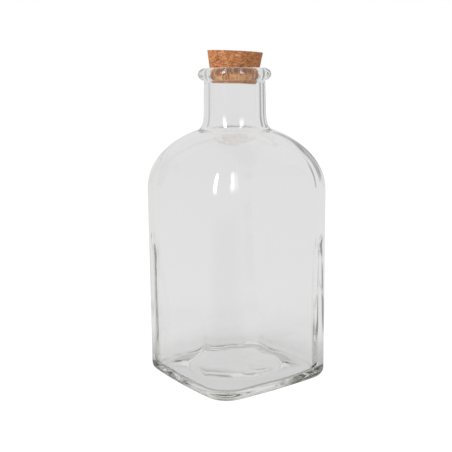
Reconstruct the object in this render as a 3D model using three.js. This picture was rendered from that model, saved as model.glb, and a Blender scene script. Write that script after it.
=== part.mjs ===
// A square glass bottle with a domed shoulder and a round neck, closed by a tapered cork.
// Millimetres, +Z up. The origin is in the middle of the foot, on the surface that it stands on.
import * as THREE from 'three';
import { mergeVertices } from 'three/addons/utils/BufferGeometryUtils.js';

// Body of the bottle
const bodySide = 94; // across the middle of two faces
const faceBow = 1.1; // how far each face swells between its corners
const cornerRadius = 17; // of the four upright corners
const innerCornerRadius = 20; // of the same corners inside
const upperInnerCornerRadius = 18; // of the inside corners above the thick part
const thinningStart = 80; // height where the corners begin to thin
const thinningEnd = 95; // height where they reach their upper thickness
const wallHeight = 122.6; // from the foot to the start of the shoulder
const bodyWall = 3;
const heelRadius = 5; // outside, round the foot
const innerHeelRadius = 4.5; // inside, where the walls meet the floor
const baseThickness = 5.5;
const puntRadius = 31; // of the round hollow under the base
const puntRise = 2; // of the hollow, and of the floor above it
const puntSteepness = 16; // how late the hollow drops towards its edge
const floorSteepness = 2; // the same for the floor above it

// Shoulder
const domeRise = 42.1; // from the end of the walls to where the dome would close

// Neck and lip
const mouthBore = 31.6; // diameter
const neckWall = 3.9;
const neckTaper = 0.4; // less radius at the lip than at the root
const neckRise = 34.9; // from where the dome would close to the top of the lip
const neckFillet = 6.5; // outside, at the root of the neck
const innerNeckFillet = 7.5; // inside, at the root of the neck
const beadHeight = 8; // of the lip
const beadOverhang = 3.8; // of the lip past the neck
const mouthRound = 2.4; // inside edge of the mouth

// Cork
const corkLength = 20.5;
const corkProud = 10.2; // of the lip, along the cork
const corkHalfAngle = THREE.MathUtils.degToRad(10); // of its taper
const corkTopChamfer = 0.4;
const corkFootChamfer = 1;
const corkLean = THREE.MathUtils.degToRad(3.1); // it is pushed in a little crooked
const corkLeanHeading = THREE.MathUtils.degToRad(-36); // from +X, where its top leans to
const seatGap = 0.3; // between the cork and the mouth

// How finely the round forms are divided
const cornerSteps = 8; // round each corner
const flatSteps = 6; // across each flat face
const domeSteps = 12;
const filletSteps = 5;
const beadSteps = 8;
const heelSteps = 4;
const puntSteps = 6;
const corkSides = 48;
const solverSteps = 50;
const weldDistance = 1e-4;
const leastBow = 1e-3; // stands for a straight side

// Sizes that follow from the ones above
const bodyHalf = bodySide / 2;
const boreRadius = mouthBore / 2;
const neckRadius = boreRadius + neckWall; // at the root
const neckTopRadius = neckRadius - neckTaper;
const lipTop = wallHeight + domeRise + neckRise;
const mouthEdge = Math.min(mouthRound, neckWall - neckTaper);
const crownRadius = boreRadius + mouthEdge; // the highest line of the lip

// A list made at even steps from 0 to 1.
function sweep(count, make) {
  return Array.from({ length: count + 1 }, (_, index) => make(index / count));
}

// A station is one level of the glass: a square of four bowed sides and four rounded corners, given
// by its half widths across the sides and across the corners and by the radius of its corners.
function station(flat, diagonal, corner, height) {
  return { flat, diagonal, corner, height };
}

function roundStation(radius, height) {
  return station(radius, radius, radius, height);
}

// Distance from the axis to a station's outline, at one angle round it. Each side is an arc about a
// centre beyond the axis, and it runs smoothly into the arc of a corner.
function outlineRadius(angle, { flat, diagonal, corner }) {
  const across = Math.abs(Math.cos(angle));
  const along = Math.abs(Math.sin(angle));
  const major = Math.max(across, along);
  const minor = Math.min(across, along);
  const cornerCentre = (diagonal - corner) / Math.SQRT2;
  const bow = Math.max(flat - cornerCentre - corner, leastBow);
  const sideRadius = corner + (bow + cornerCentre ** 2 / bow) / 2;
  const sideCentre = cornerCentre + corner + bow - sideRadius;
  const share = sideRadius / (sideRadius - corner);
  const sideEndAcross = sideCentre + (cornerCentre - sideCentre) * share;
  const sideEndAlong = cornerCentre * share;
  const isOnSide = minor * sideEndAcross <= major * sideEndAlong;
  if (isOnSide) {
    return sideCentre * major + Math.sqrt(sideRadius ** 2 - (sideCentre * minor) ** 2);
  }
  const reach = cornerCentre * (major + minor);
  return reach + Math.sqrt(corner ** 2 + reach ** 2 - 2 * cornerCentre ** 2);
}

// Angles round the axis, close together at the corners of the body.
function ringAngles() {
  const quarter = Math.PI / 2;
  const flatHalfAngle = Math.atan2(bodyHalf - faceBow - cornerRadius, bodyHalf - faceBow);
  const cornerAngle = quarter - 2 * flatHalfAngle;
  const angles = [];
  for (let side = 0; side < 4; side += 1) {
    const start = side * quarter - flatHalfAngle;
    for (let step = 0; step < flatSteps; step += 1) {
      angles.push(start + (2 * flatHalfAngle * step) / flatSteps);
    }
    for (let step = 0; step < cornerSteps; step += 1) {
      angles.push(start + 2 * flatHalfAngle + (cornerAngle * step) / cornerSteps);
    }
  }
  return angles;
}

// One closed skin through a list of stations: a lathe whose rings are drawn out to their outlines.
function drawnLathe(stations) {
  const angles = ringAngles();
  const profile = stations.map(({ flat, height }) => new THREE.Vector2(flat, height));
  const lathe = new THREE.LatheGeometry(profile, angles.length);
  const position = lathe.attributes.position;
  for (let index = 0; index < position.count; index += 1) {
    const level = stations[index % stations.length];
    const angle = angles[Math.floor(index / stations.length) % angles.length];
    const radius = level.flat > 0 ? outlineRadius(angle, level) : 0;
    position.setXYZ(index, radius * Math.cos(angle), radius * Math.sin(angle), level.height);
  }
  return welded(lathe);
}

function welded(geometry) {
  geometry.deleteAttribute('normal');
  geometry.deleteAttribute('uv');
  const merged = mergeVertices(geometry, weldDistance);
  merged.computeVertexNormals();
  return merged;
}

// The turn up an elliptical dome where a fillet touches both the dome and the neck, and the slope of
// the dome there.
function domeEnd(diagonal, rise, radius, fillet) {
  const normalAngle = (turn) => Math.atan2(Math.sin(turn) / rise, Math.cos(turn) / diagonal);
  const filletReach = (turn) => diagonal * Math.cos(turn) + fillet * Math.cos(normalAngle(turn));
  let low = 0;
  let high = Math.PI / 2;
  for (let step = 0; step < solverSteps; step += 1) {
    const middle = (low + high) / 2;
    if (filletReach(middle) > radius + fillet) {
      low = middle;
    } else {
      high = middle;
    }
  }
  return { turn: low, slope: normalAngle(low) };
}

// The shoulder from the walls up to the neck. Across the corners it is an elliptical dome. The flat
// faces lean into it later than the corners do, until it is round, and a fillet turns it into the neck.
function shoulder(flat, diagonal, corner, rise, radius, fillet, roundTurn) {
  const end = domeEnd(diagonal, rise, radius, fillet);
  const filletHeight = wallHeight + rise * Math.sin(end.turn) + fillet * Math.sin(end.slope);
  const roundReach = diagonal * Math.cos(roundTurn);
  const dome = sweep(domeSteps, (part) => {
    const reach = diagonal * Math.cos(end.turn * part);
    const share = Math.min((end.turn * part) / roundTurn, 1);
    const roundness = share ** 3 * (4 - 3 * share);
    const flatReach = reach * (1 - (1 - flat / diagonal) * (1 - roundness));
    const cornerNow = Math.min(corner + (roundReach - corner) * share, reach);
    return station(flatReach, reach, cornerNow, wallHeight + rise * Math.sin(end.turn * part));
  });
  const root = sweep(filletSteps, (part) => {
    const angle = end.slope * (1 - part) - Math.PI;
    return roundStation(radius + fillet + fillet * Math.cos(angle), filletHeight + fillet * Math.sin(angle));
  });
  return [...dome, ...root.slice(1)];
}

// A rounded heel between an upright wall and a level floor, from the floor up.
function heel(flat, diagonal, corner, radius, floor) {
  return sweep(heelSteps, (part) => {
    const angle = (part * Math.PI) / 2;
    const inset = radius * (1 - Math.sin(angle));
    const height = floor + radius * (1 - Math.cos(angle));
    return station(flat - inset, diagonal - inset, corner - inset, height);
  });
}

// A shallow round rise in the middle of a level floor, from the middle out, with its levels closer
// together towards its edge.
function punt(floor, steepness) {
  return sweep(puntSteps, (part) => {
    const share = 1 - (1 - part) ** 2;
    return roundStation(puntRadius * share, floor + puntRise * (1 - share ** steepness));
  });
}

// The lip: an oval bead outside, then the rounded edge of the mouth.
function lip() {
  const half = beadHeight / 2;
  const bulge = neckTopRadius + beadOverhang - crownRadius;
  const start = -Math.acos((neckTopRadius - crownRadius) / bulge);
  const bead = sweep(beadSteps, (part) => {
    const angle = start + (Math.PI / 2 - start) * part;
    return roundStation(crownRadius + bulge * Math.cos(angle), lipTop - half + half * Math.sin(angle));
  });
  const edge = sweep(filletSteps, (part) => {
    const angle = ((1 + part) * Math.PI) / 2;
    const height = lipTop - mouthEdge + mouthEdge * Math.sin(angle);
    return roundStation(crownRadius + mouthEdge * Math.cos(angle), height);
  });
  return [...bead, ...edge.slice(1)];
}

// Half width across the corners of the body.
function bodyDiagonal(half, corner) {
  return (half - faceBow - corner) * Math.SQRT2 + corner;
}

function makeGlass() {
  const innerHalf = bodyHalf - bodyWall;
  const outer = [bodyHalf, bodyDiagonal(bodyHalf, cornerRadius), cornerRadius];
  const innerFoot = [innerHalf, bodyDiagonal(innerHalf, innerCornerRadius), innerCornerRadius];
  const upperDiagonal = bodyDiagonal(innerHalf, upperInnerCornerRadius);
  const innerTop = [innerHalf, upperDiagonal, upperInnerCornerRadius];
  const roundTurn = domeEnd(outer[1], domeRise, neckRadius, neckFillet).turn;
  const outside = [
    ...punt(0, puntSteepness),
    ...heel(...outer, heelRadius, 0),
    ...shoulder(...outer, domeRise, neckRadius, neckFillet, roundTurn),
  ];
  const inside = [
    ...punt(baseThickness, floorSteepness),
    ...heel(...innerFoot, innerHeelRadius, baseThickness),
    station(...innerFoot, thinningStart),
    station(...innerTop, thinningEnd),
    ...shoulder(...innerTop, domeRise - bodyWall, boreRadius, innerNeckFillet, roundTurn),
  ];
  const material = new THREE.MeshStandardMaterial({
    color: 0xdde2dd,
    roughness: 0.05,
    metalness: 0,
    transparent: true,
    opacity: 0.35,
  });
  const glass = new THREE.Mesh(drawnLathe([...outside, ...lip(), ...inside.reverse()]), material);
  glass.name = 'glass_bottle';
  return glass;
}

// The cork is a cone cut off at both ends, whose point would lie inside the bottle. It leans until
// it bears on both sides of the mouth, so each side's slope and the gap fix where the point is.
function makeCork() {
  const bearing = mouthEdge + seatGap;
  const steepSide = corkHalfAngle + corkLean;
  const otherSide = corkHalfAngle - corkLean;
  const steepReach = crownRadius - bearing / Math.cos(steepSide);
  const otherReach = crownRadius - bearing / Math.cos(otherSide);
  const pointDepth = (steepReach + otherReach) / (Math.tan(steepSide) + Math.tan(otherSide));
  const pointOffset = steepReach - pointDepth * Math.tan(steepSide);
  const pointHeight = lipTop - mouthEdge - pointDepth;

  const top = (lipTop - pointHeight) / Math.cos(corkLean) + corkProud;
  const bottom = top - corkLength;
  const radiusAt = (distance) => distance * Math.tan(corkHalfAngle);
  const profile = [
    new THREE.Vector2(0, bottom),
    new THREE.Vector2(radiusAt(bottom) - corkFootChamfer, bottom),
    new THREE.Vector2(radiusAt(bottom + corkFootChamfer), bottom + corkFootChamfer),
    new THREE.Vector2(radiusAt(top - corkTopChamfer), top - corkTopChamfer),
    new THREE.Vector2(radiusAt(top) - corkTopChamfer, top),
    new THREE.Vector2(0, top),
  ];
  const geometry = new THREE.LatheGeometry(profile, corkSides).rotateX(Math.PI / 2);
  const material = new THREE.MeshStandardMaterial({ color: 0xb5764c, roughness: 0.85, metalness: 0 });
  const cork = new THREE.Mesh(welded(geometry), material);
  cork.name = 'cork_stopper';

  const seat = new THREE.Group();
  const towards = new THREE.Vector3(Math.cos(corkLeanHeading), Math.sin(corkLeanHeading), 0);
  const hingeLine = new THREE.Vector3(-towards.y, towards.x, 0);
  seat.position.copy(towards).multiplyScalar(pointOffset).setZ(pointHeight);
  seat.quaternion.setFromAxisAngle(hingeLine, corkLean);
  seat.add(cork);
  return seat;
}

const bottle = new THREE.Group();
bottle.add(makeGlass(), makeCork());

export default bottle;
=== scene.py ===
"""A square glass bottle with a domed shoulder and a round neck, closed by a tapered cork.

Lengths are in metres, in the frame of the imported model: +Z up, origin in the middle of the foot.
"""
import math
import random

import bpy
from mathutils import Matrix, Vector, kdtree, noise


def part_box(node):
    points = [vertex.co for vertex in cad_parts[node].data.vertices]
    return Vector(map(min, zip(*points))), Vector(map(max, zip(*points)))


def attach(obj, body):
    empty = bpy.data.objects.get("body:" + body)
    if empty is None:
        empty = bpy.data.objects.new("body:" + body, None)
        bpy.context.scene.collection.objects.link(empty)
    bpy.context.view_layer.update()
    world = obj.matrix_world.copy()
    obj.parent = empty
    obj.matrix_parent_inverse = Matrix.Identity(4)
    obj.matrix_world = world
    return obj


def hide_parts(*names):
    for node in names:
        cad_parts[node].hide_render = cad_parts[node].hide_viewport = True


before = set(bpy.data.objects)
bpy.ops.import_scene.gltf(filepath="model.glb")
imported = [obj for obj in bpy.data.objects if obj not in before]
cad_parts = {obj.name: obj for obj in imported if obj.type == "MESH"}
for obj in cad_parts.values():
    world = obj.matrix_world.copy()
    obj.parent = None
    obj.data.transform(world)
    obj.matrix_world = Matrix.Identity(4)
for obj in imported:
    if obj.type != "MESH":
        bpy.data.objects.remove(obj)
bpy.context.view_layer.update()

MM = 0.001

# Body of the bottle
BODY_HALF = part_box("glass_bottle")[1].x
FACE_BOW = 1.1 * MM  # how far each face swells between its corners
CORNER_RADIUS = 17 * MM
INNER_CORNER_RADIUS = 20 * MM
UPPER_INNER_CORNER_RADIUS = 18 * MM  # above the thick part of the corners
THINNING = (80 * MM, 95 * MM)  # heights between which the corners thin
WALL_HEIGHT = 122.6 * MM
BODY_WALL = 3.0 * MM
HEEL_RADIUS = 5 * MM
INNER_HEEL_RADIUS = 3 * MM
BASE_THICKNESS = 5.5 * MM
PUNT_RADIUS = 31 * MM  # of the round hollow under the base
PUNT_RISE = 2 * MM
PUNT_STEEPNESS = 16  # how late the hollow drops towards its edge
FLOOR_STEEPNESS = 3  # the same for the floor above it
LEAST_BOW = 1e-6  # stands for a straight side

# Shoulder, neck and lip
DOME_RISE = 42.1 * MM  # from the end of the walls to where the dome would close
LIP_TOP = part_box("glass_bottle")[1].z
BORE_RADIUS = 15.8 * MM
NECK_RADIUS = 19.7 * MM
NECK_TOP_RADIUS = 19.3 * MM
NECK_FILLET = 6.5 * MM
INNER_NECK_FILLET = 7.5 * MM
ROOT_FLARE = 7 * MM  # how much higher the neck's root reaches than its fillet
BEAD_HEIGHT = 8 * MM
BEAD_OVERHANG = 3.8 * MM
MOUTH_ROUND = 2.4 * MM  # of the edge that the cork bears on
MOUTH_DROP = 0.7 * MM  # height of the mouth's rounded edge
MOUTH_RADIUS = 16.3 * MM  # inside that edge
HOLLOW_DEPTH = 1.6 * MM  # of the hollow behind the bead
HOLLOW_HEIGHT = 7 * MM
CROWN_RADIUS = BORE_RADIUS + MOUTH_ROUND

# Divisions of the bottle
CORNER_STEPS = 36
FLAT_STEPS = 28
PUNT_STEPS = 24
HEEL_STEPS = 10
WALL_STEPS = 40
DOME_STEPS = 48
ROOT_STEPS = 14
NECK_STEPS = 10
BEAD_STEPS = 24
EDGE_STEPS = 12
INNER_HEEL_STEPS = 12
INNER_WALL_STEPS = 44
INNER_ROOT_STEPS = 16
INNER_NECK_STEPS = 12
HALVINGS = 60  # of the search for the dome's end

# Uneven inside of the glass
RIPPLE_DEPTH = 0.3 * MM
RIPPLE_LENGTH = 22 * MM
RIPPLE_STRETCH = 0.4  # less than 1 draws the ripple out upwards
RIPPLE_TOP = 45 * MM  # below the lip, where it ends
RIPPLE_FADE = 20 * MM
QUICK_RIPPLE_SHARE = 0.4
QUICK_RIPPLE_LENGTH = 0.45

# Cork, pushed in a little crooked
CORK_LENGTH = 19.7 * MM
CORK_PROUD = 10.2 * MM  # of the lip, along the cork
CORK_HALF_ANGLE = math.radians(10)
CORK_TOP_CHAMFER = 0.4 * MM
CORK_FOOT_CHAMFER = 1.0 * MM
CORK_LEAN = math.radians(3.1)
CORK_LEAN_HEADING = math.radians(-36)
CORK_FOOT_SLANT = 0.035
SEAT_GAP = 0.3 * MM
CORK_RING_STEPS = 320
CORK_CAP_STEPS = 38
CORK_EDGE_STEPS = 4
CORK_SIDE_STEPS = 74

# Pits and cracks of the cork: lengths and widths in mm, depths as shares of the deepest pit
CRACK_SEED = 11
PIT_DEPTH = 0.8 * MM
CRACK_STEP = 0.2 * MM
SIDE_CRACKS = 210
SIDE_CRACK_LENGTHS = (0.4, 0.6, 0.8, 1.2, 1.8, 3)
SIDE_CRACK_WIDTHS = (0.18, 0.32)
SIDE_CRACK_DEPTHS = (0.25, 0.9)
SIDE_CRACK_CLIMB = 0.35
SIDE_CRACK_WANDER = 0.18
CLEAR_OF_FOOT = 0.5 * MM
END_CRACKS = 60
END_CRACK_LENGTHS = (0, 0.6, 1.2, 3)
END_CRACK_WIDTHS = (0.3, 0.55)
END_CRACK_DEPTHS = (0.35, 1)
END_CRACK_TURN = 0.4
LEAST_DENT = 0.02 * MM
GRAIN = (0.1 * MM, 0.9 * MM)  # depth and length
SWELL = (0.12 * MM, 3.5 * MM)  # depth and length

# Colours of the cork
PATCH_SCALE = 420
PATCH_COLOURS = ((0.30, (0.32, 0.097, 0.030)), (0.45, (0.49, 0.182, 0.068)),
                 (0.57, (0.60, 0.260, 0.104)), (0.72, (0.73, 0.40, 0.19)))
STROKE_SCALE = 900
STROKE_SHADES = ((0.3, (0.56, 0.49, 0.42)), (0.5, (1, 1, 1)), (0.7, (1.26, 1.32, 1.4)))
STROKE_SHARE = 0.85
SPECK_SCALE = 1700
SPECK_RANGE = (0.61, 0.69)
SPECK_COLOUR = (0.15, 0.045, 0.014)
PIT_RANGE = (0.15, 0.7)
PIT_COLOUR = (0.11, 0.034, 0.012)
FINE_SCALE = 2600
FINE_STRENGTH = 0.6
FINE_DEPTH = 0.15 * MM
CORK_ROUGHNESS = (0.72, 0.95)
CORK_GLOSS = 0.3

# Painted light and painted shade on the cork where it sits in the mouth, by the depth below the lip
PAINTED_LIGHT_TINT = (1.35, 1.55, 1.5)  # painted light: lightens the band that the mouth covers, as if the lip's glass gathered light onto it
PAINTED_LIGHT_TOP = (3.2 * MM, 4.4 * MM)  # where this band sets in
PAINTED_LIGHT_FOOT = (7.2 * MM, 6.0 * MM)  # where it ends
PAINTED_SHADE_TINT = (0.3, 0.2, 0.15)  # painted shade: darkens the ring just under the top of the mouth
SHADE_RING_DEPTH = 2.8 * MM
SHADE_RING_REACH = (1.5 * MM, 0.1 * MM)  # from the middle of this ring, where it fades
SHADE_RING_SHARE = 0.72
FOOT_CORK = (0.80, 0.62, 0.42)  # colour of the cut foot
FOOT_FACING = (-0.5, -0.9)  # how far a surface looks down to count as the foot
FOOT_SHARE = 0.55

# Glass
GLASS_INDEX = 1.52
GLASS_DENSITY = 2.0
GLASS_TINT = (0.64, 0.69, 0.52, 1)
GLASS_SHADE = (0.93, 0.93, 0.93, 1)  # of the shadow it throws
GLASS_BOUNCES = 48
WAVE_SCALE = 70  # of the faint waves in its surface
WAVE_STRENGTH = 0.1
WAVE_DEPTH = 0.5 * MM

# Camera, as the photograph was taken
IMAGE_SIDE = 452
FOCAL_PIXELS = 800
SENSOR = 36.0
CAMERA_AZIMUTH = math.radians(-36.229)
CAMERA_DISTANCE = 0.5131
CAMERA_HEIGHT = 0.19225
CAMERA_HEADING = math.radians(-35.521)
CAMERA_PITCH = math.radians(10.357)
CAMERA_ROLL = math.radians(0.587)

# Studio, as brightness where white is 1
THROUGH_STRENGTH = 0.75  # seen through the glass
SIDE_STRENGTH = 0.76  # seen in the glass by reflection
FLOOR_SEEN = 1.1
FLOOR_GLOW_SHARE = 0.85  # the rest of the floor takes light and shadow
FLOOR_COLOUR = (0.9, 0.9, 0.9, 1)
FLOOR_HALF = 6.0
FLOOR_DROP = 0.3 * MM
LEFT_AMBIENT = 0.95  # on surfaces such as the cork
RIGHT_AMBIENT = 0.5
AMBIENT_TURN = 0.8

# Dim zones: turn from the camera's side, half widths where fully dim and where it ends, brightness
CAMERA_SIDE = (0, 22, 50, 0.35)
RIGHT_EDGE = (129, 1, 9, 0.3)
RIGHT_FAR_EDGE = (160, 4, 11, 0.25)
LEFT_EDGE = (-127, 3, 10, 0.5)
ZONE_START = (0.08, 0.2)  # from the bottle, of the camera's side
ZONE_END = (0.8, 0.5)
EDGE_START = (1.5, 2.5)  # from the bottle, of the other zones
EDGE_RISE = (0.4, 0.2)  # how high these zones reach beyond the floor

# Dark lines on the floor: see shadow_line
LEFT_LINE = (170, -0.083, 0.004, 0.010, 0.15, 0.40, 0.1)
MIDDLE_LINE = (160, 0.012, 0.008, 0.018, 0.10, 0.34, 0.08)
RIGHT_LINE = (114, -0.143, 0.004, 0.012, 0.0, 0.22, 0.55)
LINE_START_FADE = 0.04
LINE_END_FADE = 0.05
FOOT_SHADOW = (0.045, 0.11)  # distances between which the floor under the foot turns light
FOOT_STRENGTH = 0.62
FOOT_SIDE_STRENGTH = 0.36

# Lights: turn, distance, width, narrowing towards the top, and heights of the lower and upper end
LEFT_SOFTBOX = (math.radians(-39), 1.2, 0.38, 0.84, 0.18, 1.65)
RIGHT_SOFTBOX = (math.radians(25), 1.2, 0.46, 0.7, 0.2, 1.75)
LEFT_GLOW = 15
RIGHT_GLOW = 8.0
TOP_GLOW = 0.8  # at the upper end, as a share
SOFTBOX_CORE = 0.2  # half of the part that doesn't fade
INSIDE_SHARE = 0.46  # of the glow that is seen inside the glass
DEEP_SHARE = 0.11  # of the glow that is seen after many turns in the glass
DEEP_TURNS = 3.5
KEY_LIGHT = (math.radians(-50), 1.0, 0.9, 0.6)  # turn, distance, height and side
KEY_POWER = 6.0
KEY_AIM = 0.1  # height of the point it shines at


# Bottle
def sweep(count, make):
    """A list made at even steps from 0 to 1."""
    return [make(index / count) for index in range(count + 1)]


def outline_radius(angle, flat, diagonal, corner):
    """Distance from the axis to a square of bowed sides and rounded corners, at one angle round it."""
    across = abs(math.cos(angle))
    along = abs(math.sin(angle))
    major = max(across, along)
    minor = min(across, along)
    corner_centre = (diagonal - corner) / math.sqrt(2)
    bow = max(flat - corner_centre - corner, LEAST_BOW)
    side_radius = corner + (bow + corner_centre**2 / bow) / 2
    side_centre = corner_centre + corner + bow - side_radius
    share = side_radius / (side_radius - corner)
    end_across = side_centre + (corner_centre - side_centre) * share
    end_along = corner_centre * share
    if minor * end_across <= major * end_along:
        return side_centre * major + math.sqrt(side_radius**2 - (side_centre * minor) ** 2)
    reach = corner_centre * (major + minor)
    return reach + math.sqrt(corner**2 + reach**2 - 2 * corner_centre**2)


def ring_angles(corner_steps, flat_steps):
    """Angles round the axis, close together at the corners of the body."""
    quarter = math.pi / 2
    flat_half = math.atan2(BODY_HALF - FACE_BOW - CORNER_RADIUS, BODY_HALF - FACE_BOW)
    corner = quarter - 2 * flat_half
    angles = []
    for side in range(4):
        start = side * quarter - flat_half
        angles += [start + 2 * flat_half * step / flat_steps for step in range(flat_steps)]
        angles += [start + 2 * flat_half + corner * step / corner_steps for step in range(corner_steps)]
    return angles


def round_level(radius, height):
    """A level of the bottle that is a circle.

    Every level is the reach at the flats, the reach at the corners, the corner's radius and the height.
    """
    return radius, radius, radius, height


def heel(flat, diagonal, corner, radius, floor, steps):
    """Levels of a rounded heel between a level floor and an upright wall, from the floor up."""
    def level(part):
        angle = part * math.pi / 2
        inset = radius * (1 - math.sin(angle))
        return flat - inset, diagonal - inset, corner - inset, floor + radius * (1 - math.cos(angle))
    return sweep(steps, level)


def punt(floor, steepness, steps):
    """Levels of a shallow round rise in the middle of a floor, from the middle out."""
    def level(part):
        return round_level(PUNT_RADIUS * part, floor + PUNT_RISE * (1 - part**steepness))
    return sweep(steps, level)


def wall(flat, diagonal, corner, start, steps):
    """Levels of an upright wall from a height up to the shoulder, without its two ends."""
    rise = (WALL_HEIGHT - start) / steps
    return [(flat, diagonal, corner, start + rise * step) for step in range(1, steps)]


def inner_wall(half, start, steps):
    """Levels of the wall inside, whose thick corners thin out higher up."""
    levels = []
    low, high = THINNING
    for step in range(1, steps):
        height = start + (WALL_HEIGHT - start) * step / steps
        share = min(max((height - low) / (high - low), 0), 1)
        share = share * share * (3 - 2 * share)
        corner = INNER_CORNER_RADIUS + (UPPER_INNER_CORNER_RADIUS - INNER_CORNER_RADIUS) * share
        levels.append((half, body_diagonal(half, corner), corner, height))
    return levels


def dome_end(diagonal, rise, radius, fillet):
    """The turn up the dome where a fillet into the neck begins, and the slope there."""
    def normal_angle(turn):
        return math.atan2(math.sin(turn) / rise, math.cos(turn) / diagonal)

    low = 0.0
    high = math.pi / 2
    for _ in range(HALVINGS):
        middle = (low + high) / 2
        if diagonal * math.cos(middle) + fillet * math.cos(normal_angle(middle)) > radius + fillet:
            low = middle
        else:
            high = middle
    return low, normal_angle(low)


def shoulder(flat, diagonal, corner, rise, radius, fillet, flare, round_turn, dome_steps, fillet_steps):
    """Levels from the walls up to the neck: an elliptical dome with a fillet into the neck."""
    low, tangent = dome_end(diagonal, rise, radius, fillet)
    centre_height = WALL_HEIGHT + rise * math.sin(low) + fillet * math.sin(tangent)
    round_reach = diagonal * math.cos(round_turn)

    def dome(part):
        reach = diagonal * math.cos(low * part)
        share = min(low * part / round_turn, 1)
        roundness = share**3 * (4 - 3 * share)
        flat_reach = reach * (1 - (1 - flat / diagonal) * (1 - roundness))
        corner_now = corner + (round_reach - corner) * share
        return flat_reach, reach, min(corner_now, reach), WALL_HEIGHT + rise * math.sin(low * part)

    def root(part):
        angle = tangent * (1 - part) - math.pi
        climb = 1 - math.sin(tangent * (1 - part)) / math.sin(tangent)
        height = centre_height + fillet * math.sin(angle) + flare * climb**2
        return round_level(radius + fillet + fillet * math.cos(angle), height)

    return sweep(dome_steps, dome) + sweep(fillet_steps, root)[1:]


def neck(root_radius, top_radius, start, end, steps):
    """Levels of a plain neck between two heights, without its two ends."""
    def level(part):
        return round_level(root_radius + (top_radius - root_radius) * part, start + (end - start) * part)
    return sweep(steps, level)[1:-1]


def lip(bead_steps, edge_steps):
    """Levels of the lip: an oval bead, the rounded edge of the mouth, and a hollow behind the bead."""
    half = BEAD_HEIGHT / 2
    bulge = NECK_TOP_RADIUS + BEAD_OVERHANG - CROWN_RADIUS
    start = -math.acos((NECK_TOP_RADIUS - CROWN_RADIUS) / bulge)

    def bead(part):
        angle = start + (math.pi / 2 - start) * part
        return round_level(CROWN_RADIUS + bulge * math.cos(angle), LIP_TOP - half + half * math.sin(angle))

    def edge(part):
        angle = (1 + part) * math.pi / 2
        radius = CROWN_RADIUS + (CROWN_RADIUS - MOUTH_RADIUS) * math.cos(angle)
        return round_level(radius, LIP_TOP - MOUTH_DROP + MOUTH_DROP * math.sin(angle))

    def hollow(part):
        straight = MOUTH_RADIUS + (BORE_RADIUS - MOUTH_RADIUS) * part
        radius = straight + HOLLOW_DEPTH * math.sin(math.pi * part) ** 2
        return round_level(radius, LIP_TOP - MOUTH_DROP - HOLLOW_HEIGHT * part)

    return sweep(bead_steps, bead) + sweep(edge_steps, edge)[1:] + sweep(2 * edge_steps, hollow)[1:]


def body_diagonal(half, corner):
    """Half width across the corners of the body."""
    return (half - FACE_BOW - corner) * math.sqrt(2) + corner


def ripple(x, y, z):
    """How far the inside of the glass strays from its even form, as it does in moulded glass."""
    calm = min(max((LIP_TOP - RIPPLE_TOP - z) / RIPPLE_FADE, 0), 1)
    slow = noise.noise(Vector((x, y, z * RIPPLE_STRETCH)) / RIPPLE_LENGTH)
    quick = noise.noise(Vector((x + 1, y, z * RIPPLE_STRETCH)) / (QUICK_RIPPLE_LENGTH * RIPPLE_LENGTH))
    return (slow + QUICK_RIPPLE_SHARE * quick) * RIPPLE_DEPTH * calm


def bottle_levels():
    """The outside from the middle of the foot up to the lip, then the inside down to the floor."""
    outer_body = (BODY_HALF, body_diagonal(BODY_HALF, CORNER_RADIUS), CORNER_RADIUS)
    round_turn = dome_end(outer_body[1], DOME_RISE, NECK_RADIUS, NECK_FILLET)[0]
    outer_root = (NECK_RADIUS, NECK_FILLET, ROOT_FLARE)
    outer_shoulder = shoulder(*outer_body, DOME_RISE, *outer_root, round_turn, DOME_STEPS, ROOT_STEPS)
    rim = lip(BEAD_STEPS, EDGE_STEPS)
    outside = punt(0, PUNT_STEEPNESS, PUNT_STEPS)
    outside += heel(*outer_body, HEEL_RADIUS, 0, HEEL_STEPS)
    outside += wall(*outer_body, HEEL_RADIUS, WALL_STEPS) + outer_shoulder
    outside += neck(NECK_RADIUS, NECK_TOP_RADIUS, outer_shoulder[-1][-1], rim[0][-1], NECK_STEPS) + rim

    inner_half = BODY_HALF - BODY_WALL
    inner_foot = (inner_half, body_diagonal(inner_half, INNER_CORNER_RADIUS), INNER_CORNER_RADIUS)
    top_diagonal = body_diagonal(inner_half, UPPER_INNER_CORNER_RADIUS)
    inner_top = (inner_half, top_diagonal, UPPER_INNER_CORNER_RADIUS)
    inner_root = (BORE_RADIUS, INNER_NECK_FILLET, ROOT_FLARE)
    inner_rise = DOME_RISE - BODY_WALL
    inner_shoulder = shoulder(*inner_top, inner_rise, *inner_root, round_turn, DOME_STEPS, INNER_ROOT_STEPS)
    inside = punt(BASE_THICKNESS, FLOOR_STEEPNESS, PUNT_STEPS)
    inside += heel(*inner_foot, INNER_HEEL_RADIUS, BASE_THICKNESS, INNER_HEEL_STEPS)
    inside += inner_wall(inner_half, BASE_THICKNESS + INNER_HEEL_RADIUS, INNER_WALL_STEPS) + inner_shoulder
    inside += neck(BORE_RADIUS, BORE_RADIUS, inner_shoulder[-1][-1], rim[-1][-1], INNER_NECK_STEPS)
    return outside, inside[::-1]


def add_object(name, vertices, faces, material):
    """A smooth mesh of one material, linked to the scene."""
    mesh = bpy.data.meshes.new(name)
    mesh.from_pydata(vertices, [], faces)
    mesh.polygons.foreach_set("use_smooth", [True] * len(mesh.polygons))
    mesh.materials.append(material)
    mesh.update()
    piece = bpy.data.objects.new(name, mesh)
    bpy.context.scene.collection.objects.link(piece)
    return piece


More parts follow.
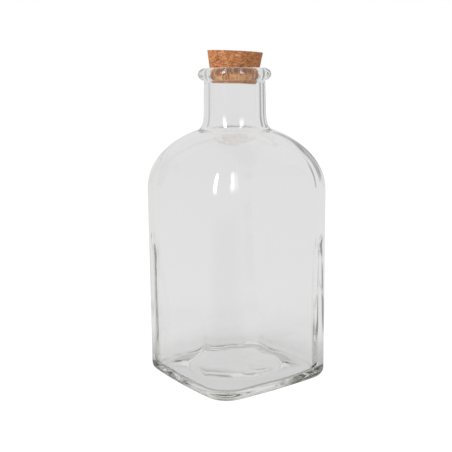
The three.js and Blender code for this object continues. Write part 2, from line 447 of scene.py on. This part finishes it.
def drawn_lathe(rings, angles):
    """Vertices and faces of one closed skin through rings of points, with a pole at each end."""
    count = len(angles)
    vertices = [rings[0][0]]
    for ring in rings[1:-1]:
        vertices += ring
    vertices.append(rings[-1][0])
    last = len(vertices) - 1
    faces = [(0, 1 + (step + 1) % count, 1 + step) for step in range(count)]
    for level in range(len(rings) - 3):
        base = 1 + level * count
        for step in range(count):
            after = (step + 1) % count
            faces.append((base + step, base + after, base + count + after, base + count + step))
    top = last - count
    faces += [(top + step, top + (step + 1) % count, last) for step in range(count)]
    return vertices, faces


def make_bottle(material):
    """The bottle, one skin of glass whose inside is uneven."""
    outside, inside = bottle_levels()
    angles = ring_angles(CORNER_STEPS, FLAT_STEPS)
    floor_edge = BASE_THICKNESS + INNER_HEEL_RADIUS
    rings = []
    for index, (flat, diagonal, corner, height) in enumerate(outside + inside):
        is_inside = index >= len(outside)
        ring = []
        for angle in angles:
            radius = outline_radius(angle, flat, diagonal, corner) if flat > 0 else 0
            point = Vector((radius * math.cos(angle), radius * math.sin(angle), height))
            if is_inside:
                above_floor = height - BASE_THICKNESS - PUNT_RISE
                upright = min(max(above_floor / (floor_edge - BASE_THICKNESS), 0), 1)
                push = ripple(*point)
                outward = (math.cos(angle) * upright, math.sin(angle) * upright, 1 - upright)
                point += Vector(outward) * push
            ring.append(point)
        rings.append(ring)
    vertices, faces = drawn_lathe(rings, angles)
    return add_object("bottle_glass", vertices, faces, material)


# Cork
def cork_seat():
    """Where the point of the cork's cone lies when it bears on both sides of the mouth."""
    bearing = MOUTH_ROUND + SEAT_GAP
    steep_side = CORK_HALF_ANGLE + CORK_LEAN
    other_side = CORK_HALF_ANGLE - CORK_LEAN
    steep_reach = CROWN_RADIUS - bearing / math.cos(steep_side)
    other_reach = CROWN_RADIUS - bearing / math.cos(other_side)
    point_depth = (steep_reach + other_reach) / (math.tan(steep_side) + math.tan(other_side))
    point_offset = steep_reach - point_depth * math.tan(steep_side)
    point_height = LIP_TOP - MOUTH_ROUND - point_depth
    top = (LIP_TOP - point_height) / math.cos(CORK_LEAN) + CORK_PROUD
    towards = Vector((math.cos(CORK_LEAN_HEADING), math.sin(CORK_LEAN_HEADING), 0))
    hinge = Vector((-towards.y, towards.x, 0))
    place = Matrix.Translation(towards * point_offset + Vector((0, 0, point_height)))
    return place @ Matrix.Rotation(CORK_LEAN, 4, hinge), top


def cork_levels(top, cap_steps, chamfer_steps, side_steps):
    """Levels of the cork from the middle of its foot to the middle of its top.

    Each is a radius, a distance from the point of the cone, and the way in across and along the axis.
    """
    foot = top - CORK_LENGTH
    slope = math.tan(CORK_HALF_ANGLE)
    inner_foot = foot * slope - CORK_FOOT_CHAMFER
    inner_top = top * slope - CORK_TOP_CHAMFER
    side_foot = foot + CORK_FOOT_CHAMFER
    side_top = top - CORK_TOP_CHAMFER
    levels = sweep(cap_steps, lambda part: (inner_foot * part, foot, 0, 1))

    def foot_edge(part):
        radius = inner_foot + (side_foot * slope - inner_foot) * math.sin(part * math.pi / 2)
        height = foot + CORK_FOOT_CHAMFER * (1 - math.cos(part * math.pi / 2))
        return radius, height, -math.sin(part * math.pi / 2), math.cos(part * math.pi / 2)

    def side(part):
        height = side_foot + (side_top - side_foot) * part
        return height * slope, height, -1, 0

    def top_edge(part):
        radius = inner_top + (side_top * slope - inner_top) * math.cos(part * math.pi / 2)
        height = side_top + CORK_TOP_CHAMFER * math.sin(part * math.pi / 2)
        return radius, height, -math.cos(part * math.pi / 2), -math.sin(part * math.pi / 2)

    levels += sweep(chamfer_steps, foot_edge)[1:]
    levels += sweep(side_steps, side)[1:]
    levels += sweep(chamfer_steps, top_edge)[1:]
    levels += sweep(cap_steps, lambda part: (inner_top * (1 - part), top, 0, -1))[1:]
    return levels


def cork_cracks(foot, top, draw):
    """Paths of the pits and cracks: points, a half width and a depth for each."""
    slope = math.tan(CORK_HALF_ANGLE)
    cracks = []
    for _ in range(SIDE_CRACKS):
        turn = draw.uniform(0, 2 * math.pi)
        height = draw.uniform(foot + CLEAR_OF_FOOT, top)
        length = draw.choice(SIDE_CRACK_LENGTHS) * MM
        climb = draw.gauss(0, SIDE_CRACK_CLIMB)
        width = draw.uniform(*SIDE_CRACK_WIDTHS) * MM
        depth = draw.uniform(*SIDE_CRACK_DEPTHS) * PIT_DEPTH
        path = []
        for step in range(int(length / CRACK_STEP) + 1):
            climb += draw.gauss(0, SIDE_CRACK_WANDER)
            turn += CRACK_STEP * math.cos(climb) / (height * slope)
            height = min(max(height + CRACK_STEP * math.sin(climb), foot), top)
            radius = height * slope
            path.append(Vector((radius * math.cos(turn), radius * math.sin(turn), height)))
        cracks.append((path, width, depth))
    for _ in range(END_CRACKS):
        turn = draw.uniform(0, 2 * math.pi)
        radius = top * slope * math.sqrt(draw.uniform(0, 1))
        heading = draw.uniform(-END_CRACK_TURN, END_CRACK_TURN)
        start = Vector((radius * math.cos(turn), radius * math.sin(turn), draw.choice((foot, top, top))))
        along = Vector((math.cos(heading), math.sin(heading), 0))
        length = draw.choice(END_CRACK_LENGTHS) * MM
        path = [start + along * CRACK_STEP * step for step in range(int(length / CRACK_STEP) + 1)]
        width = draw.uniform(*END_CRACK_WIDTHS) * MM
        depth = draw.uniform(*END_CRACK_DEPTHS) * PIT_DEPTH
        cracks.append((path, width, depth))
    return cracks


def make_cork(material):
    """The cork, dented by its grain, pits and cracks, and seated crooked in the mouth."""
    seat, top = cork_seat()
    levels = cork_levels(top, CORK_CAP_STEPS, CORK_EDGE_STEPS, CORK_SIDE_STEPS)
    count = CORK_RING_STEPS
    angles = [2 * math.pi * step / count for step in range(count)]
    leaning = Vector((math.cos(CORK_LEAN_HEADING), math.sin(CORK_LEAN_HEADING), 0))
    around = [(math.cos(turn), math.sin(turn)) for turn in angles]
    rings = []
    inward = []
    for radius, height, across, along in levels:
        rings.append([Vector((radius * x, radius * y, height)) for x, y in around])
        inward.append([Vector((across * x, across * y, along)) for x, y in around])
    tree = kdtree.KDTree(len(rings) * count)
    for level, ring in enumerate(rings):
        for step, point in enumerate(ring):
            tree.insert(point, level * count + step)
    tree.balance()
    pits = [0.0] * (len(rings) * count)
    for path, width, depth in cork_cracks(top - CORK_LENGTH, top, random.Random(CRACK_SEED)):
        for spot in path:
            for _, index, distance in tree.find_range(spot, width):
                pits[index] = max(pits[index], depth * (1 - (distance / width) ** 2))
    for level, ring in enumerate(rings):
        for step, point in enumerate(ring):
            grain = 0.5 + 0.5 * noise.noise(point / GRAIN[1])
            swell = 0.5 + 0.5 * noise.noise(point / SWELL[1])
            dent = LEAST_DENT + GRAIN[0] * grain + SWELL[0] * swell + pits[level * count + step]
            drop = CORK_FOOT_SLANT * (top - point.z) / CORK_LENGTH * point.dot(leaning)
            ring[step] = seat @ (point + inward[level][step] * dent - Vector((0, 0, drop)))
    vertices, faces = drawn_lathe(rings, angles)
    cork = add_object("cork_body", vertices, faces, material)
    pit_share = cork.data.attributes.new("pit", "FLOAT", "POINT")
    shares = [pits[0]] + pits[count:-count] + [pits[-1]]
    pit_share.data.foreach_set("value", [share / PIT_DEPTH for share in shares])
    return cork


# Nodes
def math_node(tree, operation, first, second):
    """The result of one sum on two numbers, each plain or from a node."""
    node = tree.nodes.new("ShaderNodeMath")
    node.operation = operation
    for socket, value in zip(node.inputs, (first, second)):
        if isinstance(value, (int, float)):
            socket.default_value = value
        else:
            tree.links.new(value, socket)
    return node.outputs[0]


def vector_node(tree, operation, first, second=None, output="Vector"):
    """The result of one sum on a vector from a node and, for some sums, a plain one."""
    node = tree.nodes.new("ShaderNodeVectorMath")
    node.operation = operation
    tree.links.new(first, node.inputs[0])
    if second is not None:
        node.inputs[1].default_value = second
    return node.outputs[output]


def eased(tree, value, low, high):
    """0 below the low value and 1 above the high one, with a smooth change between."""
    node = tree.nodes.new("ShaderNodeMapRange")
    node.interpolation_type = "SMOOTHSTEP"
    node.inputs["From Min"].default_value = low
    node.inputs["From Max"].default_value = high
    tree.links.new(value, node.inputs["Value"])
    return node.outputs["Result"]


def mixed(tree, share, first, second):
    """A mix of two numbers, each plain or from a node."""
    node = tree.nodes.new("ShaderNodeMix")
    for name, value in (("Factor", share), ("A", first), ("B", second)):
        socket = node.inputs[name]
        if isinstance(value, (int, float)):
            socket.default_value = value
        else:
            tree.links.new(value, socket)
    return node.outputs["Result"]


# Materials
def new_material(name):
    """A material with an output and no other node yet."""
    material = bpy.data.materials.new(name)
    material.use_nodes = True
    tree = material.node_tree
    tree.nodes.clear()
    output = tree.nodes.new("ShaderNodeOutputMaterial")
    return material, tree, output


def glass_material():
    """Clear glass with faint waves in its surface, tinted where it is thick, that throws a pale shadow."""
    material, tree, output = new_material("clear_glass")
    shader = tree.nodes.new("ShaderNodeBsdfPrincipled")
    shader.inputs["Base Color"].default_value = (1, 1, 1, 1)
    shader.inputs["Roughness"].default_value = 0.0
    shader.inputs["IOR"].default_value = GLASS_INDEX
    shader.inputs["Transmission Weight"].default_value = 1.0
    waves = noise_node(tree, place_nodes(tree, (1, 1, 0.5), (0.4, 0.2, 0.6)), WAVE_SCALE, 1)
    bump = tree.nodes.new("ShaderNodeBump")
    bump.inputs["Strength"].default_value = WAVE_STRENGTH
    bump.inputs["Distance"].default_value = WAVE_DEPTH
    tree.links.new(waves, bump.inputs["Height"])
    tree.links.new(bump.outputs[0], shader.inputs["Normal"])
    path = tree.nodes.new("ShaderNodeLightPath")
    clear = tree.nodes.new("ShaderNodeBsdfTransparent")
    clear.inputs["Color"].default_value = GLASS_SHADE
    mix = tree.nodes.new("ShaderNodeMixShader")
    tree.links.new(path.outputs["Is Shadow Ray"], mix.inputs[0])
    tree.links.new(shader.outputs[0], mix.inputs[1])
    tree.links.new(clear.outputs[0], mix.inputs[2])
    tree.links.new(mix.outputs[0], output.inputs["Surface"])
    tint = tree.nodes.new("ShaderNodeVolumeAbsorption")
    tint.inputs["Color"].default_value = GLASS_TINT
    tint.inputs["Density"].default_value = GLASS_DENSITY
    tree.links.new(tint.outputs[0], output.inputs["Volume"])
    return material


def place_nodes(tree, stretch, shift, tilt=0.0):
    """Coordinates on the piece, stretched, tilted and moved so that no two patterns line up."""
    where = tree.nodes.new("ShaderNodeTexCoord")
    mapping = tree.nodes.new("ShaderNodeMapping")
    mapping.inputs["Rotation"].default_value = (tilt, tilt, 0)
    mapping.inputs["Scale"].default_value = stretch
    mapping.inputs["Location"].default_value = shift
    tree.links.new(where.outputs["Object"], mapping.inputs["Vector"])
    return mapping.outputs[0]


def noise_node(tree, place, scale, detail=2.0, distortion=0.0):
    node = tree.nodes.new("ShaderNodeTexNoise")
    node.inputs["Scale"].default_value = scale
    node.inputs["Detail"].default_value = detail
    node.inputs["Distortion"].default_value = distortion
    tree.links.new(place, node.inputs["Vector"])
    return node.outputs["Fac"]


def ramp_node(tree, value, stops):
    """A colour by a value, from stops of a position and a colour."""
    node = tree.nodes.new("ShaderNodeValToRGB")
    ramp = node.color_ramp
    while len(ramp.elements) < len(stops):
        ramp.elements.new(0.5)
    for element, (spot, colour) in zip(ramp.elements, stops):
        element.position = spot
        element.color = (*colour, 1)
    tree.links.new(value, node.inputs[0])
    return node.outputs["Color"]


def tinted(tree, share, first, second, blend="MIX"):
    """A mix of two colours, each plain or from a node."""
    node = tree.nodes.new("ShaderNodeMix")
    node.data_type = "RGBA"
    node.blend_type = blend
    for name, value in (("Factor_Float", share), ("A_Color", first), ("B_Color", second)):
        socket = next(each for each in node.inputs if each.identifier == name)
        if isinstance(value, tuple):
            socket.default_value = (*value, 1)
        elif isinstance(value, (int, float)):
            socket.default_value = value
        else:
            tree.links.new(value, socket)
    return next(each for each in node.outputs if each.identifier == "Result_Color")


def seat_light_and_shade(tree, colour):
    """Paints shade on the ring just under the top of the mouth, paints light on the band below it, and
    pales the cut foot.
    """
    where = tree.nodes.new("ShaderNodeTexCoord")
    parts = tree.nodes.new("ShaderNodeSeparateXYZ")
    tree.links.new(where.outputs["Object"], parts.inputs[0])
    depth = math_node(tree, "SUBTRACT", LIP_TOP, parts.outputs["Z"])
    # painted light: the band inside the mouth is lightened as if the lip's glass gathered light onto it
    below = math_node(tree, "MULTIPLY", eased(tree, depth, *PAINTED_LIGHT_TOP), eased(tree, depth, *PAINTED_LIGHT_FOOT))
    # painted shade: the ring just under the top of the mouth is darkened
    away = math_node(tree, "ABSOLUTE", math_node(tree, "SUBTRACT", depth, SHADE_RING_DEPTH), 0)
    ring_shade = math_node(tree, "MULTIPLY", eased(tree, away, *SHADE_RING_REACH), SHADE_RING_SHARE)
    colour = tinted(tree, below, colour, tinted(tree, 1.0, colour, PAINTED_LIGHT_TINT, "MULTIPLY"))
    colour = tinted(tree, ring_shade, colour, tinted(tree, 1.0, colour, PAINTED_SHADE_TINT, "MULTIPLY"))
    surface = tree.nodes.new("ShaderNodeNewGeometry")
    facing = tree.nodes.new("ShaderNodeSeparateXYZ")
    tree.links.new(surface.outputs["Normal"], facing.inputs[0])
    foot = math_node(tree, "MULTIPLY", eased(tree, facing.outputs["Z"], *FOOT_FACING), FOOT_SHARE)
    return tinted(tree, foot, colour, FOOT_CORK)


def cork_material():
    """Cork with patches, strokes and specks of its own colours, dark pits, and painted shade and painted
    light where it sits in the mouth.
    """
    material, tree, output = new_material("cork")
    patches = noise_node(tree, place_nodes(tree, (1, 1, 1.7), (0, 0, 0), 0.25), PATCH_SCALE, 4, 0.8)
    colour = ramp_node(tree, patches, PATCH_COLOURS)
    strokes = noise_node(tree, place_nodes(tree, (1, 1, 2.6), (0.3, 0.1, 0.2), 0.3), STROKE_SCALE, 3, 0.4)
    lightness = ramp_node(tree, strokes, STROKE_SHADES)
    colour = tinted(tree, STROKE_SHARE, colour, lightness, "MULTIPLY")
    specks = noise_node(tree, place_nodes(tree, (1, 1, 1.6), (0.7, 0.4, 0.1)), SPECK_SCALE, 2)
    colour = tinted(tree, eased(tree, specks, *SPECK_RANGE), colour, SPECK_COLOUR)
    pit = tree.nodes.new("ShaderNodeAttribute")
    pit.attribute_name = "pit"
    colour = tinted(tree, eased(tree, pit.outputs["Fac"], *PIT_RANGE), colour, PIT_COLOUR)
    colour = seat_light_and_shade(tree, colour)
    shader = tree.nodes.new("ShaderNodeBsdfPrincipled")
    tree.links.new(colour, shader.inputs["Base Color"])
    fine = noise_node(tree, place_nodes(tree, (1, 1, 1), (0.2, 0.9, 0.5)), FINE_SCALE, 3)
    rough = tree.nodes.new("ShaderNodeMapRange")
    rough.inputs["To Min"].default_value = CORK_ROUGHNESS[0]
    rough.inputs["To Max"].default_value = CORK_ROUGHNESS[1]
    tree.links.new(fine, rough.inputs["Value"])
    tree.links.new(rough.outputs["Result"], shader.inputs["Roughness"])
    shader.inputs["Specular IOR Level"].default_value = CORK_GLOSS
    bump = tree.nodes.new("ShaderNodeBump")
    bump.inputs["Strength"].default_value = FINE_STRENGTH
    bump.inputs["Distance"].default_value = FINE_DEPTH
    tree.links.new(fine, bump.inputs["Height"])
    tree.links.new(bump.outputs[0], shader.inputs["Normal"])
    tree.links.new(shader.outputs[0], output.inputs["Surface"])
    return material


# Stage
def dim_zone(tree, heading, zone, span, base):
    """Dims a brightness towards one heading, given as a turn from the camera's side of the bottle."""
    turn, inner, outer, strength = zone
    angle = CAMERA_AZIMUTH + math.radians(turn)
    towards = (math.sin(angle), -math.cos(angle), 0)
    facing = vector_node(tree, "DOT_PRODUCT", heading, towards, output="Value")
    share = eased(tree, facing, math.cos(math.radians(outer)), math.cos(math.radians(inner)))
    return mixed(tree, math_node(tree, "MULTIPLY", share, span), base, strength)


def shadow_line(tree, position, line, base):
    """Dims the floor along one dark line of the bottle's shadow, which falls away from the camera.

    A line is a turn from the camera's side, an offset to the right of the axis, two half widths, the
    distances along it where it starts and ends, and its brightness.
    """
    turn, offset, inner, outer, start, end, strength = line
    angle = CAMERA_AZIMUTH + math.radians(turn)
    ahead = (math.sin(angle), -math.cos(angle), 0)
    aside = (-math.cos(angle), -math.sin(angle), 0)
    along = vector_node(tree, "DOT_PRODUCT", position, ahead, output="Value")
    across = vector_node(tree, "DOT_PRODUCT", position, aside, output="Value")
    away = math_node(tree, "ABSOLUTE", math_node(tree, "SUBTRACT", across, offset), 0)
    length = math_node(tree, "MULTIPLY", eased(tree, along, start - LINE_START_FADE, start),
                       eased(tree, along, end + LINE_END_FADE, end - LINE_END_FADE))
    share = math_node(tree, "MULTIPLY", eased(tree, away, outer, inner), length)
    return mixed(tree, share, base, strength)


def by_ray(tree, through, reflected, diffused, seen):
    """Brightness by how a ray comes: white seen straight, pale through the glass, else as reflected."""
    path = tree.nodes.new("ShaderNodeLightPath")
    bounced = math_node(tree, "MINIMUM", path.outputs["Glossy Depth"], 1)
    indirect = mixed(tree, bounced, through, reflected)
    indirect = mixed(tree, path.outputs["Is Diffuse Ray"], indirect, diffused)
    return mixed(tree, path.outputs["Is Camera Ray"], indirect, seen)


def floor_strength(tree):
    """Brightness of the floor: shaded under the foot, with dark lines near it and dim zones far out."""
    place = tree.nodes.new("ShaderNodeNewGeometry")
    reach = vector_node(tree, "LENGTH", place.outputs["Position"], output="Value")
    heading = vector_node(tree, "NORMALIZE", place.outputs["Position"])
    clear_of_foot = eased(tree, reach, *ZONE_START)
    lit = eased(tree, reach, *FOOT_SHADOW)
    through = mixed(tree, lit, FOOT_STRENGTH, THROUGH_STRENGTH)
    around = mixed(tree, lit, FOOT_SIDE_STRENGTH, SIDE_STRENGTH)
    far = eased(tree, reach, *EDGE_START)
    front = math_node(tree, "MULTIPLY", clear_of_foot, eased(tree, reach, *ZONE_END))
    strength = dim_zone(tree, heading, CAMERA_SIDE, front, around)
    for line in (LEFT_LINE, MIDDLE_LINE, RIGHT_LINE):
        strength = shadow_line(tree, place.outputs["Position"], line, strength)
    for zone in (RIGHT_EDGE, RIGHT_FAR_EDGE, LEFT_EDGE):
        strength = dim_zone(tree, heading, zone, far, strength)
    return by_ray(tree, through, strength, SIDE_STRENGTH, FLOOR_SEEN)


def world_strength(tree):
    """Brightness of the studio round the floor, with the same dim zones low down."""
    place = tree.nodes.new("ShaderNodeTexCoord")
    parts = tree.nodes.new("ShaderNodeSeparateXYZ")
    tree.links.new(place.outputs["Generated"], parts.inputs[0])
    low = eased(tree, parts.outputs["Z"], *EDGE_RISE)
    level = vector_node(tree, "MULTIPLY", place.outputs["Generated"], (1, 1, 0))
    heading = vector_node(tree, "NORMALIZE", level)
    strength = SIDE_STRENGTH
    for zone in (RIGHT_EDGE, RIGHT_FAR_EDGE, LEFT_EDGE):
        strength = dim_zone(tree, heading, zone, low, strength)
    left = (-math.cos(CAMERA_AZIMUTH), -math.sin(CAMERA_AZIMUTH), 0)
    leftness = vector_node(tree, "DOT_PRODUCT", place.outputs["Generated"], left, output="Value")
    ambient = mixed(tree, eased(tree, leftness, -AMBIENT_TURN, AMBIENT_TURN), RIGHT_AMBIENT, LEFT_AMBIENT)
    return by_ray(tree, THROUGH_STRENGTH, strength, ambient, 1.0)


def make_floor():
    """A pale floor that glows by the kind of ray and keeps a little of the object's shadow."""
    material, tree, output = new_material("pale_floor")
    diffuse = tree.nodes.new("ShaderNodeBsdfDiffuse")
    diffuse.inputs["Color"].default_value = FLOOR_COLOUR
    glow = tree.nodes.new("ShaderNodeEmission")
    tree.links.new(floor_strength(tree), glow.inputs["Strength"])
    mix = tree.nodes.new("ShaderNodeMixShader")
    mix.inputs[0].default_value = FLOOR_GLOW_SHARE
    tree.links.new(diffuse.outputs[0], mix.inputs[1])
    tree.links.new(glow.outputs[0], mix.inputs[2])
    tree.links.new(mix.outputs[0], output.inputs["Surface"])
    turns = ((-1, -1), (1, -1), (1, 1), (-1, 1))
    corners = [(x * FLOOR_HALF, y * FLOOR_HALF, -FLOOR_DROP) for x, y in turns]
    add_object("floor", corners, [(0, 1, 2, 3)], material)


def make_world():
    world = bpy.data.worlds.new("studio")
    bpy.context.scene.world = world
    world.use_nodes = True
    tree = world.node_tree
    background = tree.nodes["Background"]
    background.inputs["Color"].default_value = (1, 1, 1, 1)
    tree.links.new(world_strength(tree), background.inputs["Strength"])


def make_softbox(name, turn, distance, width, narrowing, bottom, top, strength):
    """An upright soft light, turned from the camera's side of the bottle, that shines in the glass.

    It is widest and strongest at its foot, and its soft sides draw in towards its top.
    """
    material, tree, output = new_material(name)
    place = tree.nodes.new("ShaderNodeTexCoord")
    parts = tree.nodes.new("ShaderNodeSeparateXYZ")
    tree.links.new(place.outputs["Generated"], parts.inputs[0])
    across = math_node(tree, "ABSOLUTE", math_node(tree, "SUBTRACT", parts.outputs["X"], 0.5), 0)
    across = math_node(tree, "DIVIDE", across, mixed(tree, parts.outputs["Y"], 1.0, narrowing))
    upward = math_node(tree, "ABSOLUTE", math_node(tree, "SUBTRACT", parts.outputs["Y"], 0.5), 0)
    side_fade = eased(tree, across, 0.5, SOFTBOX_CORE)
    fade = math_node(tree, "MULTIPLY", side_fade, eased(tree, upward, 0.5, SOFTBOX_CORE))
    path = tree.nodes.new("ShaderNodeLightPath")
    depth = math_node(tree, "ADD", path.outputs["Glossy Depth"], path.outputs["Transmission Depth"])
    inside = mixed(tree, math_node(tree, "GREATER_THAN", depth, DEEP_TURNS), INSIDE_SHARE, DEEP_SHARE)
    is_inside = math_node(tree, "GREATER_THAN", path.outputs["Transmission Depth"], 0.5)
    level = mixed(tree, parts.outputs["Y"], strength, strength * TOP_GLOW)
    power = math_node(tree, "MULTIPLY", mixed(tree, is_inside, 1.0, inside), level)
    glow = tree.nodes.new("ShaderNodeEmission")
    tree.links.new(power, glow.inputs["Strength"])
    clear = tree.nodes.new("ShaderNodeBsdfTransparent")
    mix = tree.nodes.new("ShaderNodeMixShader")
    tree.links.new(fade, mix.inputs[0])
    tree.links.new(clear.outputs[0], mix.inputs[1])
    tree.links.new(glow.outputs[0], mix.inputs[2])
    tree.links.new(mix.outputs[0], output.inputs["Surface"])
    half = width / 2
    corners = [(-half, bottom, 0), (half, bottom, 0), (half, top, 0), (-half, top, 0)]
    box = add_object(name, corners, [(0, 1, 2, 3)], material)
    angle = CAMERA_AZIMUTH + turn
    outward = Vector((math.sin(angle), -math.cos(angle), 0))
    sideways = Vector((math.cos(angle), math.sin(angle), 0))
    turned = Matrix((sideways, Vector((0, 0, 1)), outward)).transposed().to_4x4()
    box.matrix_world = Matrix.Translation(outward * distance) @ turned
    box.visible_camera = False
    box.visible_diffuse = False
    box.visible_shadow = False
    box.visible_volume_scatter = False


def make_key_light(turn, distance, height, side, power):
    """A broad soft light from above that shades the cork and the floor, and isn't seen in the glass."""
    light = bpy.data.lights.new("key_light", "AREA")
    light.size = side
    light.energy = power
    lamp = bpy.data.objects.new("key_light", light)
    angle = CAMERA_AZIMUTH + turn
    lamp.location = (math.sin(angle) * distance, -math.cos(angle) * distance, height)
    lamp.rotation_euler = (Vector((0, 0, KEY_AIM)) - lamp.location).to_track_quat("-Z", "Y").to_euler()
    lamp.visible_camera = False
    lamp.visible_glossy = False
    lamp.visible_transmission = False
    bpy.context.scene.collection.objects.link(lamp)


def make_lights():
    make_softbox("left_softbox", *LEFT_SOFTBOX, LEFT_GLOW)
    make_softbox("right_softbox", *RIGHT_SOFTBOX, RIGHT_GLOW)
    make_key_light(*KEY_LIGHT, KEY_POWER)


def make_camera():
    data = bpy.data.cameras.new("camera")
    data.sensor_width = SENSOR
    data.lens = SENSOR * FOCAL_PIXELS / IMAGE_SIDE
    camera = bpy.data.objects.new("camera", data)
    right = Vector((math.cos(CAMERA_HEADING), math.sin(CAMERA_HEADING), 0))
    level = Vector((-math.sin(CAMERA_HEADING), math.cos(CAMERA_HEADING), 0))
    upright = Vector((0, 0, 1))
    forward = level * math.cos(CAMERA_PITCH) - upright * math.sin(CAMERA_PITCH)
    up = level * math.sin(CAMERA_PITCH) + upright * math.cos(CAMERA_PITCH)
    rolled_up = up * math.cos(CAMERA_ROLL) + right * math.sin(CAMERA_ROLL)
    rolled_right = right * math.cos(CAMERA_ROLL) - up * math.sin(CAMERA_ROLL)
    turn = Matrix((rolled_right, rolled_up, -forward)).transposed().to_4x4()
    east = math.sin(CAMERA_AZIMUTH) * CAMERA_DISTANCE
    north = -math.cos(CAMERA_AZIMUTH) * CAMERA_DISTANCE
    camera.matrix_world = Matrix.Translation((east, north, CAMERA_HEIGHT)) @ turn
    bpy.context.scene.collection.objects.link(camera)
    bpy.context.scene.camera = camera


bottle = make_bottle(glass_material())
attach(bottle, "bottle")
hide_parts("glass_bottle")

cork = make_cork(cork_material())
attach(cork, "stopper")
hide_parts("cork_stopper")
cork.visible_glossy = False

make_floor()
make_world()
make_lights()
make_camera()
scene = bpy.context.scene
scene.view_settings.view_transform = "Standard"
scene.cycles.max_bounces = GLASS_BOUNCES
scene.cycles.transmission_bounces = GLASS_BOUNCES
scene.cycles.glossy_bounces = GLASS_BOUNCES
